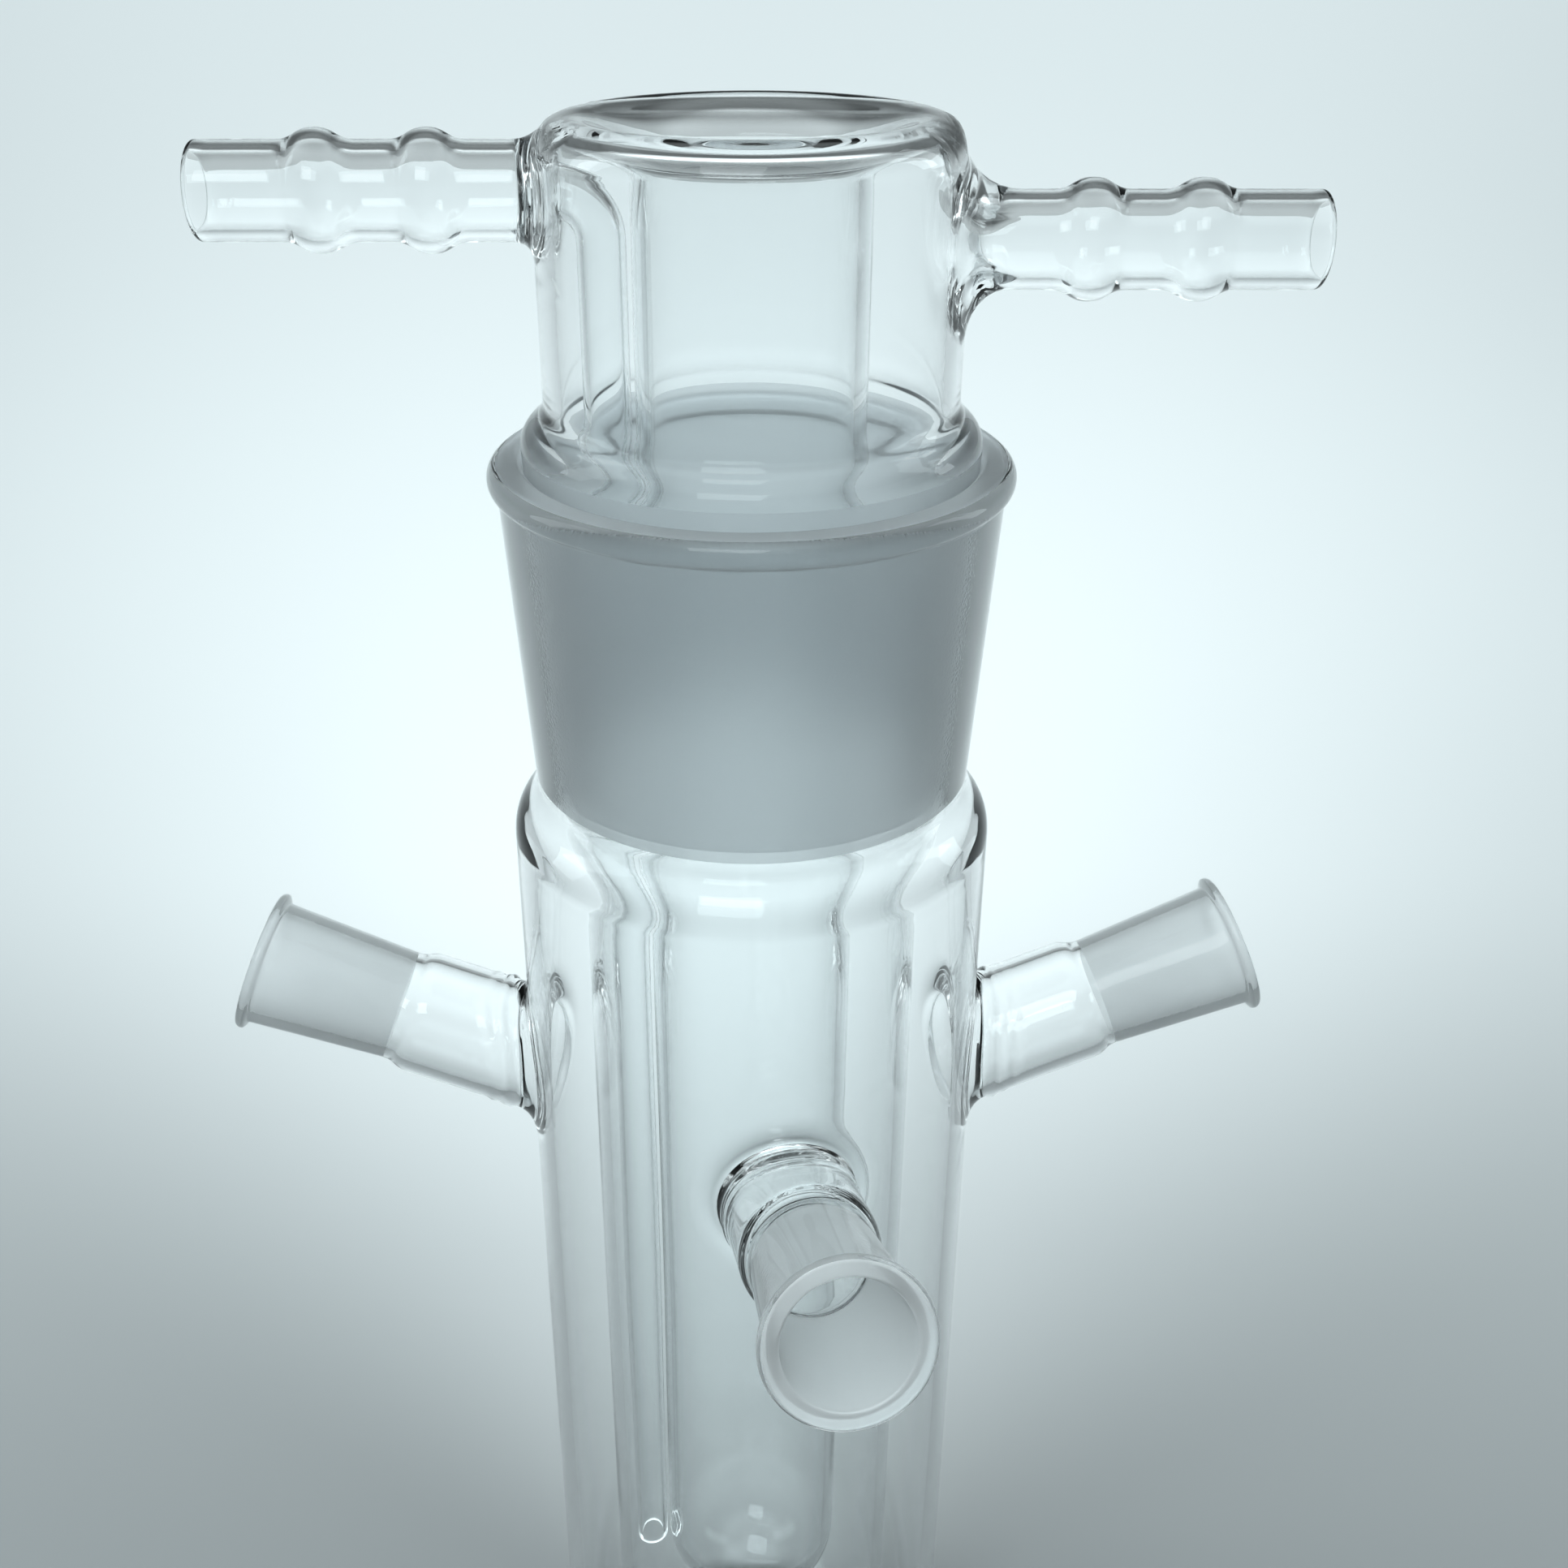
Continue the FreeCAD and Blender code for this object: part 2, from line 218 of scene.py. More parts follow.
def side_axis(side: str) -> tuple[Axis, float]:
    """Axis of a side neck, started on the upright axis.

    Args:
        side: Which neck.

    Returns:
        The axis, and the distance along it to the neck's mouth.
    """
    mount = next(m for m in frame["record"]["mounts"] if m["name"] == side + "_side_socket")
    mouth = np.array(mount["pos_m"])
    direction = np.array(mount["axis"])
    direction /= np.linalg.norm(direction)
    length = np.hypot(*mouth[:2]) / np.hypot(*direction[:2])
    return Axis(mouth - direction * length, direction), float(length)


# ---------------------------------------------------------------- turning and joining glass walls


class Outline:
    """Rows of radius and distance that a wall is turned from."""

    def __init__(self, radius: float, along: float) -> None:
        """Start at one row."""
        self.rows: list[tuple[float, float]] = [(radius, along)]
        self.marks: dict[str, int] = {}

    def curve(self, poles: list[tuple[float, float]], steps: int) -> "Outline":
        """Follow a smooth curve.

        Args:
            poles: Control points after the row the outline is at.
            steps: Rows to add.

        Returns:
            The outline itself.
        """
        points = np.array([self.rows[-1], *poles])
        degree = len(points) - 1
        weights = np.array([math.comb(degree, i) for i in range(degree + 1)])
        for step in range(1, steps + 1):
            t = step / steps
            blend = weights * t ** np.arange(degree + 1) * (1 - t) ** np.arange(degree, -1, -1)
            self.rows.append(tuple(blend @ points))
        return self

    def line(self, radius: float, along: float, steps: int) -> "Outline":
        """Go straight to a row."""
        return self.curve([(radius, along)], steps)

    def sway(self, radius: float, along: float, steps: int) -> "Outline":
        """Go to a row by an S-curve that leaves and arrives along the axis.

        Args:
            radius: Radius to arrive at.
            along: Distance to arrive at.
            steps: Rows to add.

        Returns:
            The outline itself.
        """
        start, height = self.rows[-1]
        middle = (height + along) / 2
        return self.curve([(start, middle), (radius, middle), (radius, along)], steps)

    def arc(
        self, centre: tuple[float, float], size: float, start: float, end: float, steps: int
    ) -> "Outline":
        """Follow an arc.

        Args:
            centre: Radius and distance of the arc's centre.
            size: Radius of the arc itself.
            start: First angle in degrees.
            end: Last angle in degrees.
            steps: Rows to add.

        Returns:
            The outline itself.
        """
        for angle in np.radians(np.linspace(start, end, steps + 1)[1:]):
            self.rows.append((centre[0] + size * math.cos(angle), centre[1] + size * math.sin(angle)))
        return self

    def mark(self, name: str) -> "Outline":
        """Give the row the outline is at a name."""
        self.marks[name] = len(self.rows) - 1
        return self


@dataclass
class Window:
    """Patch of a turned wall that is left open round a branch."""

    row: int
    rows: int
    column: int
    columns: int

    def holds(self, row: int, column: int, around: int) -> bool:
        """Whether a face of the wall lies in the window."""
        return self.row <= row < self.row + self.rows and (column - self.column) % around < self.columns

    def loop(self) -> list[tuple[int, int]]:
        """Walk round the window's edge.

        Returns:
            Rows and columns of the points along the edge, in order.
        """
        low, high = self.row, self.row + self.rows
        left, right = self.column, self.column + self.columns
        return (
            [(low, c) for c in range(left, right)]
            + [(r, right) for r in range(low, high)]
            + [(high, c) for c in range(right, left, -1)]
            + [(r, left) for r in range(high, low, -1)]
        )


class FlippedWindow(Window):
    """Window of a wall whose rows run downward: its edge is walked from the last row."""

    def loop(self) -> list[tuple[int, int]]:
        """Rows and columns along the window's edge, from the last row."""
        last = 2 * self.row + self.rows
        return [(last - r, c) for r, c in super().loop()]


class Shell:
    """Points and faces of one closed glass shell."""

    def __init__(self) -> None:
        """Start empty."""
        self.points: list[np.ndarray] = []
        self.faces: list[tuple[int, ...]] = []
        self.finishes: list[int] = []
        self.count = 0

    def ring(self, points: np.ndarray) -> np.ndarray:
        """Add points.

        Args:
            points: Points of the ring, in order.

        Returns:
            The points' numbers in the shell.
        """
        self.points.append(points)
        numbers = np.arange(self.count, self.count + len(points))
        self.count += len(points)
        return numbers

    def face(self, corners: tuple[int, ...], finish: Finish) -> None:
        """Add a face."""
        self.faces.append(corners)
        self.finishes.append(finish.value)

    def bridge(self, first: np.ndarray, second: np.ndarray, finish: Finish) -> None:
        """Join two closed rings of equal length with quads.

        Args:
            first: Numbers of the first ring's points.
            second: Numbers of the second ring's points.
            finish: Finish of the quads.
        """
        after_first = np.roll(first, -1)
        after_second = np.roll(second, -1)
        for corners in zip(first, after_first, after_second, second):
            self.face(tuple(int(c) for c in corners), finish)

    def to_object(self, name: str, materials: list[bpy.types.Material]) -> bpy.types.Object:
        """Make the shell a mesh object with its faces outward.

        Args:
            name: Name of the object.
            materials: Materials in the order of Finish.

        Returns:
            The object, at the origin.
        """
        points = np.vstack(self.points)
        used = np.unique(np.concatenate([np.array(f) for f in self.faces]))
        renumbered = np.full(len(points), -1)
        renumbered[used] = np.arange(len(used))
        mesh = bpy.data.meshes.new(name)
        faces = [tuple(int(renumbered[c]) for c in f) for f in self.faces]
        mesh.from_pydata(points[used].tolist(), [], faces)
        for material in materials:
            mesh.materials.append(material)
        mesh.polygons.foreach_set("material_index", self.finishes)
        work = bmesh.new()
        work.from_mesh(mesh)
        bmesh.ops.recalc_face_normals(work, faces=work.faces)
        open_edges = sum(1 for edge in work.edges if not edge.is_manifold)
        work.to_mesh(mesh)
        work.free()
        mesh.polygons.foreach_set("use_smooth", [True] * len(mesh.polygons))
        mesh.update()
        LOG.info("%s: %d faces, %d open edges", name, len(mesh.polygons), open_edges)
        return adopt(name, mesh)


class TurnedWall:
    """Wall turned about the upright axis from pole to pole, with windows for its branches."""

    def __init__(self, outline: Outline, turns: np.ndarray) -> None:
        """Lay out the wall.

        Args:
            outline: Rows to turn; its first and last lie on the axis.
            turns: Angles of the columns, in radians.
        """
        self.rows = np.array(outline.rows)
        self.marks = outline.marks
        self.turns = turns
        self.windows: list[Window] = []
        self.runs = np.r_[0, np.cumsum(np.hypot(*np.diff(self.rows, axis=0).T))]
        self.numbers: list[np.ndarray] = []

    def at(self, turns: np.ndarray, runs: np.ndarray) -> np.ndarray:
        """Points of the wall.

        Args:
            turns: Angles round the upright axis, in radians.
            runs: Distances along the outline.

        Returns:
            One point for each angle.
        """
        radius = np.interp(runs, self.runs, self.rows[:, 0])
        height = np.interp(runs, self.runs, self.rows[:, 1])
        return np.c_[radius * np.cos(turns), radius * np.sin(turns), height]

    def build(self, shell: Shell, ground: list[tuple[str, str]]) -> None:
        """Add the wall to a shell.

        Args:
            shell: Shell to add to.
            ground: Pairs of marks between which the wall is ground.
        """
        around = len(self.turns)
        bands = [sorted((self.marks[a], self.marks[b])) for a, b in ground]
        for radius, height in self.rows:
            turns = self.turns if radius > POLE else self.turns[:1]
            ring = np.c_[radius * np.cos(turns), radius * np.sin(turns), np.full(len(turns), height)]
            self.numbers.append(shell.ring(ring))
        for row in range(len(self.rows) - 1):
            low, high = self.numbers[row], self.numbers[row + 1]
            finish = Finish.GROUND if any(a <= row < b for a, b in bands) else Finish.CLEAR
            for column in range(around):
                if any(window.holds(row, column, around) for window in self.windows):
                    continue
                after = (column + 1) % around
                corners = [low[column % len(low)], low[after % len(low)]]
                corners += [high[after % len(high)], high[column % len(high)]]
                shell.face(tuple(int(c) for c in dict.fromkeys(corners)), finish)


@dataclass
class Root:
    """Where a branch leaves a wall: the window's patch and the blend on to the branch."""

    wall: TurnedWall
    window: Window
    axis: Axis
    radius: float
    spread: float
    rise: float
    ridge: float = 0.0
    ripple: int = 3
    turns: np.ndarray = field(init=False)
    rings: list[np.ndarray] = field(init=False)
    start: np.ndarray = field(init=False)

    def build(self, shell: Shell) -> None:
        """Add the patch to a shell, from the window's edge to the branch.

        Args:
            shell: Shell to add to.
        """
        around = len(self.wall.turns)
        loop = self.window.loop()
        edge = np.array([self.wall.numbers[r][c % around] for r, c in loop])
        runs = np.array([self.wall.runs[r] for r, _ in loop])
        centre = math.atan2(self.axis.direction[1], self.axis.direction[0])
        turns = np.array([self.wall.turns[c % around] for _, c in loop])
        turns = centre + np.angle(np.exp(1j * (turns - centre)))
        self.turns = self.axis.turn(self.wall.at(turns, runs))
        self.start = self.meet()
        meeting = self.axis.place(self.radius, self.turns, self.start)
        met_turns = np.arctan2(meeting[:, 1], meeting[:, 0])
        met_turns = centre + np.angle(np.exp(1j * (met_turns - centre)))
        met_runs = self.run_at(meeting[:, 2])
        size = np.hypot(meeting[:, 0], meeting[:, 1])
        gap = np.c_[size * (turns - met_turns), runs - met_runs]
        length = np.linalg.norm(gap, axis=1)
        step = np.minimum(self.spread, ROOT_SHARE * length)
        lift = self.rise * step / self.spread
        foot_turns = met_turns + gap[:, 0] / length * step / size
        foot_runs = met_runs + gap[:, 1] / length * step
        foot = self.wall.at(foot_turns, foot_runs)
        top = self.axis.place(self.radius, self.turns, self.start + lift)
        self.rings = [edge]
        for share in np.linspace(0, 1, ROOT_FLAT_STEPS + 1)[1:]:
            on_wall = self.wall.at(turns + (foot_turns - turns) * share, runs + (foot_runs - runs) * share)
            self.rings.append(shell.ring(on_wall))
        for share in np.linspace(0, 1, ROOT_BEND_STEPS + 1)[1:]:
            bend = foot * (1 - share) ** 2 + 2 * meeting * share * (1 - share) + top * share**2
            self.rings.append(shell.ring(bend))
        self.start = self.start + lift
        for first, second in zip(self.rings, self.rings[1:]):
            shell.bridge(first, second, Finish.CLEAR)

    def swell(self, past: np.ndarray) -> np.ndarray:
        """Radius of the branch at distances past its root, with the rings its welding left.

        Args:
            past: Distance past the root, one for each angle.

        Returns:
            The radius at each angle.
        """
        wander = 1 + RING_WANDER * np.sin(self.ripple * self.turns + self.ripple)
        rings = sum(np.exp(-(((past - place * wander) / RING_WIDTH) ** 2)) * size for place, size in RINGS)
        return self.radius + self.ridge * wander * rings

    def stretch(self) -> tuple[np.ndarray, np.ndarray, np.ndarray]:
        """Cut the wall's outline to the window.

        Returns:
            Heights, radii and runs of the rows in the window, by rising height.
        """
        rows = slice(self.window.row, self.window.row + self.window.rows + 1)
        order = np.argsort(self.wall.rows[rows, 1])
        return (
            self.wall.rows[rows, 1][order],
            self.wall.rows[rows, 0][order],
            self.wall.runs[rows][order],
        )

    def run_at(self, heights: np.ndarray) -> np.ndarray:
        """Distances along the outline at heights inside the window."""
        known, _, runs = self.stretch()
        return np.interp(heights, known, runs)

    def meet(self) -> np.ndarray:
        """Look for the wall along each of the branch's lines.

        Returns:
            The distance along the branch at which each line crosses the wall.
        """
        heights, radii, _ = self.stretch()
        near = np.zeros(len(self.turns))
        far = np.full(len(self.turns), 2 * radii.max())
        for _ in range(MEET_STEPS):
            middle = (near + far) / 2
            points = self.axis.place(self.radius, self.turns, middle)
            outside = np.hypot(points[:, 0], points[:, 1]) > np.interp(points[:, 2], heights, radii)
            far = np.where(outside, middle, far)
            near = np.where(outside, near, middle)
        return (near + far) / 2


def branch(shell: Shell, outer: Root, inner: Root, outline: Outline, ground: tuple[int, int]) -> None:
    """Run a hollow branch from its outer root, round its mouth and back to its inner root.

    Args:
        shell: Shell to add to.
        outer: Root on the outer wall.
        inner: Root on the inner wall.
        outline: Rows of radius and distance along the branch's axis.
        ground: First and last row that are ground.
    """
    outer.build(shell)
    inner.build(shell)
    count = len(outline.rows)
    swing = np.angle(np.exp(1j * (inner.turns - outer.turns)))
    rings = [outer.rings[-1]]
    finishes = []
    first = outline.rows[0][1]
    for share in np.linspace(0, 1, ROOT_EASE_STEPS + 1)[1:-1]:
        past = (first - outer.start) * share
        radius = outer.swell(past)
        rings.append(shell.ring(outer.axis.place(radius, outer.turns, outer.start + past)))
        finishes.append(Finish.CLEAR)
    for row, (radius, along) in enumerate(outline.rows):
        turns = outer.turns + swing * row / (count - 1)
        rings.append(shell.ring(outer.axis.place(radius, turns, along)))
        finishes.append(Finish.FINE if ground[0] < row <= ground[1] else Finish.CLEAR)
    last = outline.rows[-1][1]
    for share in np.linspace(1, 0, ROOT_EASE_STEPS + 1)[1:-1]:
        past = (last - inner.start) * share
        radius = inner.swell(past)
        rings.append(shell.ring(inner.axis.place(radius, inner.turns, inner.start + past)))
        finishes.append(Finish.CLEAR)
    rings.append(inner.rings[-1])
    finishes.append(Finish.CLEAR)
    for (low, high), finish in zip(zip(rings, rings[1:]), finishes):
        shell.bridge(low, high, finish)


def columns_with_windows(
    centres: list[float], half: float, inside: int, pitch: float
) -> tuple[np.ndarray, list[int]]:
    """Angles of a wall's columns, with whole columns at each window's edges.

    Args:
        centres: Angles of the windows' middles, in radians.
        half: Half the width of a window, in radians.
        inside: Columns in a window.
        pitch: Angle between columns elsewhere, in radians.

    Returns:
        The angles, and the first column of each window in the order given.
    """
    order = np.argsort(np.mod(centres, 2 * math.pi))
    angles: list[float] = []
    firsts = [0] * len(centres)
    for place, which in enumerate(order):
        centre = np.mod(centres[which], 2 * math.pi)
        after = np.mod(centres[order[(place + 1) % len(order)]], 2 * math.pi)
        if place == len(order) - 1:
            after += 2 * math.pi
        firsts[which] = len(angles)
        angles += list(np.linspace(centre - half, centre + half, inside + 1)[:-1])
        gap = after - centre - 2 * half
        steps = max(2, round(gap / pitch))
        angles += list(centre + half + np.linspace(0, gap, steps + 1)[:-1])
    return np.array(angles), firsts


# ---------------------------------------------------------------- finishes


DRAWN = (1.0, 1.0, 0.16)  # the waves are long along the upright axis, as in drawn tube


class GlassRipple:
    """Shader node group: faint draw lines and hand-worked waves in glass, put out as a normal."""

    def __init__(self) -> None:
        """Build the group once."""
        group = bpy.data.node_groups.new("glass_ripple", "ShaderNodeTree")
        for name, kind, default in (
            ("Wave Scale", "NodeSocketFloat", 60.0),
            ("Wave Height", "NodeSocketFloat", 0.0002),
            ("Grain Scale", "NodeSocketFloat", 2500.0),
            ("Grain Height", "NodeSocketFloat", 0.0),
        ):
            socket = group.interface.new_socket(name, in_out="INPUT", socket_type=kind)
            socket.default_value = default
        group.interface.new_socket("Normal", in_out="OUTPUT", socket_type="NodeSocketVector")
        nodes, links = group.nodes, group.links
        source = nodes.new("NodeGroupInput")
        target = nodes.new("NodeGroupOutput")
        place = nodes.new("ShaderNodeTexCoord")
        stretch = nodes.new("ShaderNodeMapping")
        stretch.inputs["Scale"].default_value = DRAWN
        wave = nodes.new("ShaderNodeTexNoise")
        grain = nodes.new("ShaderNodeTexNoise")
        waves = nodes.new("ShaderNodeMath")
        grains = nodes.new("ShaderNodeMath")
        total = nodes.new("ShaderNodeMath")
        bump = nodes.new("ShaderNodeBump")
        waves.operation = "MULTIPLY"
        grains.operation = "MULTIPLY"
        total.operation = "ADD"
        bump.inputs["Distance"].default_value = 1.0
        wave.inputs["Detail"].default_value = 1.0
        links.new(place.outputs["Object"], stretch.inputs["Vector"])
        links.new(stretch.outputs["Vector"], wave.inputs["Vector"])
        links.new(place.outputs["Object"], grain.inputs["Vector"])
        links.new(source.outputs["Wave Scale"], wave.inputs["Scale"])
        links.new(source.outputs["Grain Scale"], grain.inputs["Scale"])
        links.new(wave.outputs["Fac"], waves.inputs[0])
        links.new(source.outputs["Wave Height"], waves.inputs[1])
        links.new(grain.outputs["Fac"], grains.inputs[0])
        links.new(source.outputs["Grain Height"], grains.inputs[1])
        links.new(waves.outputs[0], total.inputs[0])
        links.new(grains.outputs[0], total.inputs[1])
        links.new(total.outputs[0], bump.inputs["Height"])
        links.new(bump.outputs["Normal"], target.inputs["Normal"])
        self.group = group


@dataclass(frozen=True)
class GlassFinish:
    """One finish of the glass: passing is the share of light let through, shine tints its gloss."""

    name: str
    tint: tuple[float, float, float]
    roughness: float
    wave_height: float
    grain_height: float
    passing: float
    shine: float
    index: float = 1.473

    def material(self, ripple: GlassRipple) -> bpy.types.Material:
        """Make the finish a material.

        Args:
            ripple: Shared group that waves the surface.

        Returns:
            The material.
        """
        material = bpy.data.materials.new(self.name)
        material.use_nodes = True
        nodes, links = material.node_tree.nodes, material.node_tree.links
        shader = nodes["Principled BSDF"]
        shader.inputs["Base Color"].default_value = (*self.tint, 1.0)
        shader.inputs["Roughness"].default_value = self.roughness
        shader.inputs["IOR"].default_value = self.index
        shader.inputs["Transmission Weight"].default_value = self.passing
        shader.inputs["Specular Tint"].default_value = (self.shine, self.shine, self.shine, 1.0)
        waver = nodes.new("ShaderNodeGroup")
        waver.node_tree = ripple.group
        waver.inputs["Wave Height"].default_value = self.wave_height
        waver.inputs["Grain Height"].default_value = self.grain_height
        links.new(waver.outputs["Normal"], shader.inputs["Normal"])
        return material


@dataclass(frozen=True)
class PlainFinish:
    """Matt finish of the floor."""

    name: str
    colour: tuple[float, float, float]
    roughness: float

    def material(self) -> bpy.types.Material:
        """Make the finish a material.

        Returns:
            The material.
        """
        material = bpy.data.materials.new(self.name)
        material.use_nodes = True
        shader = material.node_tree.nodes["Principled BSDF"]
        shader.inputs["Base Color"].default_value = (*self.colour, 1.0)
        shader.inputs["Roughness"].default_value = self.roughness
        return material


CLEAR_GLASS = GlassFinish(
    name="clear_glass", tint=(0.986, 0.994, 0.995), roughness=0.0,
    wave_height=0.00014, grain_height=0.0, passing=1.0, shine=0.4,
)
GROUND_GLASS = GlassFinish(
    name="ground_glass", tint=(0.862, 0.895, 0.915), roughness=0.44,
    wave_height=0.0, grain_height=0.000012, passing=0.82, shine=0.8,
)
FINE_GROUND_GLASS = GlassFinish(
    name="fine_ground_glass", tint=(0.95, 0.965, 0.97), roughness=0.36,
    wave_height=0.0, grain_height=0.000008, passing=0.62, shine=0.8,
)


# ---------------------------------------------------------------- the vessel


@dataclass
class Vessel:
    """Outer vessel: flat-based tube, shoulder, ground main socket and three ground side necks."""

    finishes: list[bpy.types.Material]
    sides: tuple[str, ...] = ("right", "front", "left")
    window_half: float = 17.0 * MM
    window_turn: float = math.radians(27.0)
    window_cells: int = 24
    root_spread: float = 4.6 * MM
    root_rise: float = 3.2 * MM
    inner_round: float = 1.6 * MM
    ridge: float = 0.5 * MM
    trim: float = 0.14 * MM
    waist: float = 4.0 * MM
    outer_run: float = 5.0 * MM
    inner_run: float = 7.0 * MM
    lip_depth: float = 0.1 * MM
    bead_reach: float = 0.87
    pitch: float = math.radians(2.4)
    short_rows: int = 12
    wall_rows: int = 36
    shoulder_rows: int = 14
    socket_rows: int = 24
    bead_rows: int = 14
    bead_start: float = -50.0
    bead_ground: float = 70.0
    collar_rows: int = 6
    lip_rows: int = 3
    throat_rows: int = 7
    lip_round: float = 0.8
    neck_tube_rows: int = 4
    neck_ease_rows: int = 8
    neck_body_rows: int = 10
    neck_lip_rows: int = 5
    neck_bead_rows: int = 7
    neck_ground_rows: int = 16
    neck_bead_turns: tuple[float, float] = (-30.0, 60.0)

    def outline(self, root_height: float) -> Outline:
        """Rows of the vessel's wall from its outer foot, over the rim, to its inner foot.

        Args:
            root_height: Height of the side necks' roots.

        Returns:
            The outline with its windows and ground band marked.
        """
        base = Gauge.of("vessel_base")
        wall = Gauge.of("vessel_wall")
        socket = Gauge.of("main_socket")
        foot = Gauge.of("main_socket", high=socket.low)
        head = Gauge.of("main_socket", low=socket.high)
        bead = Gauge.of("main_socket_bead")
        top = Gauge.of("main_socket_bead", low=bead.high)
        corner = base.high
        thick = wall.outer - wall.inner
        low, high = root_height - self.window_half, root_height + self.window_half
        half = (bead.high - bead.low) / 2
        belly = bead.outer - half
        lip = top.inner - head.inner
        slope = (head.inner - foot.inner) / (head.low - foot.low)
        throat = head.inner + slope * (bead.high - lip - head.low)
        rim = Outline(0.0, 0.0)
        rim.line(wall.outer - corner, 0.0, self.short_rows)
        rim.arc((wall.outer - corner, corner), corner, -90, 0, self.short_rows)
        rim.line(wall.outer, low, self.wall_rows).mark("outer").line(wall.outer, high, self.window_cells)
        rim.line(wall.outer, wall.high, self.short_rows).sway(foot.outer, foot.low, self.shoulder_rows)
        rim.line(head.outer, head.low - half / 3, self.socket_rows)
        turn = math.radians(self.bead_start)
        # The socket's wall hollows a little before it swells into the bead's underside.
        rim.curve(
            [
                (head.outer + 0.02 * half, head.low + half / 8),
                (belly + half * math.cos(turn) - half / 3, bead.low + half * (1 + math.sin(turn)) - half / 4),
                (belly + half * math.cos(turn), bead.low + half * (1 + math.sin(turn))),
            ],
            self.collar_rows,
        )
        rim.arc((belly, bead.low + half), half, self.bead_start, self.bead_ground, self.bead_rows)
        rim.mark("ground_top").arc((belly, bead.low + half), half, self.bead_ground, 90, self.lip_rows)
        rim.line(top.inner, bead.high, self.lip_rows)
        rim.curve([(top.inner - lip * self.lip_round, bead.high), (throat, bead.high - lip)], self.throat_rows)
        rim.line(foot.inner, foot.low, self.wall_rows).mark("ground_foot")
        rim.sway(wall.inner, wall.high, self.shoulder_rows)
        rim.line(wall.inner, high, self.short_rows).mark("inner")
        rim.line(wall.inner, low, self.window_cells).line(wall.inner, corner, self.wall_rows)
        rim.arc((wall.outer - corner, corner), corner - thick, 0, -90, self.short_rows)
        rim.line(0.0, thick, self.short_rows)
        return rim

    def neck_outline(self, side: str, axis: Axis, mouth: float) -> tuple[Outline, tuple[int, int], Gauge]:
        """Rows of a side neck from its outer root, over its bead, to its inner root.

        Args:
            side: Which neck.
            axis: The neck's axis.
            mouth: Distance along the axis to the mouth.

        Returns:
            The outline, its first and last ground row, and the clear tube's gauge.
        """
        whole = Gauge.of(side + "_neck_tube", axis)
        clear = Gauge.of(side + "_neck_tube", axis, high=whole.high - self.waist)
        socket = Gauge.of(side + "_neck_socket", axis)
        foot = Gauge.of(side + "_neck_socket", axis, high=socket.low)
        lip = Gauge.of(side + "_neck_socket", axis, low=mouth - self.lip_depth)
        top = Gauge(lip.low, lip.high, foot.inner + (mouth - socket.low) / JOINT_TAPER, lip.outer)
        waist = whole.high - self.waist
        bead = socket.outer - top.outer - self.trim
        collar = mouth - 2 * bead
        body = foot.outer + (top.inner - foot.inner) * (collar - socket.low) / (mouth - socket.low)
        neck = Outline(clear.outer, waist - self.outer_run)
        neck.line(clear.outer, waist, self.neck_tube_rows)
        neck.sway(foot.outer, whole.high, self.neck_ease_rows)
        neck.line(body, collar - bead / 2, self.neck_body_rows)
        bead_start, bead_ground = self.neck_bead_turns
        side_of_bead = (top.outer + bead * self.bead_reach, collar + bead * 0.5)
        neck.curve([(body, collar), (top.outer, collar - bead * 0.1), side_of_bead], self.neck_lip_rows)
        neck.arc((top.outer, mouth - bead), bead, bead_start, bead_ground, self.neck_bead_rows)
        start = len(neck.rows) - 1
        neck.arc((top.outer, mouth - bead), bead, bead_ground, 90, self.lip_rows)
        neck.line(lip.inner + bead * 0.4, mouth, 2)
        neck.curve([(top.inner, mouth), (top.inner, mouth - bead * 0.5)], self.neck_lip_rows)
        neck.line(foot.inner, socket.low, self.neck_ground_rows)
        end = len(neck.rows) - 1
        neck.sway(clear.inner, waist, self.neck_ease_rows)
        neck.line(clear.inner, waist - self.inner_run, self.neck_tube_rows)
        return neck, (start, end), clear

    def build(self) -> bpy.types.Object:
        """Blow the vessel in one piece.

        Returns:
            The vessel's object.
        """
        axes = {side: side_axis(side) for side in self.sides}
        wall_radius = Gauge.of("vessel_wall").outer
        slopes = {side: axis.direction[2] / np.hypot(*axis.direction[:2]) for side, (axis, _) in axes.items()}
        roots = [axis.origin[2] + wall_radius * slopes[side] for side, (axis, _) in axes.items()]
        outline = self.outline(float(np.mean(roots)))
        centres = [math.atan2(axis.direction[1], axis.direction[0]) for axis, _ in axes.values()]
        turns, firsts = columns_with_windows(centres, self.window_turn, self.window_cells, self.pitch)
        wall = TurnedWall(outline, turns)
        cells = self.window_cells
        outer_windows = [Window(outline.marks["outer"], cells, first, cells) for first in firsts]
        inner_windows = [FlippedWindow(outline.marks["inner"], cells, first, cells) for first in firsts]
        wall.windows = outer_windows + inner_windows
        shell = Shell()
        wall.build(shell, [("ground_top", "ground_foot")])
        for (side, (axis, mouth)), outer, inner in zip(axes.items(), outer_windows, inner_windows):
            neck, ground, clear = self.neck_outline(side, axis, mouth)
            ripple = 2 + self.sides.index(side)
            spread, rise, small = self.root_spread, self.root_rise, self.inner_round
            outer_root = Root(wall, outer, axis, clear.outer, spread, rise, self.ridge, ripple)
            inner_root = Root(wall, inner, axis, clear.inner, small, small, -self.ridge, ripple)
            branch(shell, outer_root, inner_root, neck, ground)
        return shell.to_object("vessel_glass", self.finishes)


# ---------------------------------------------------------------- the well


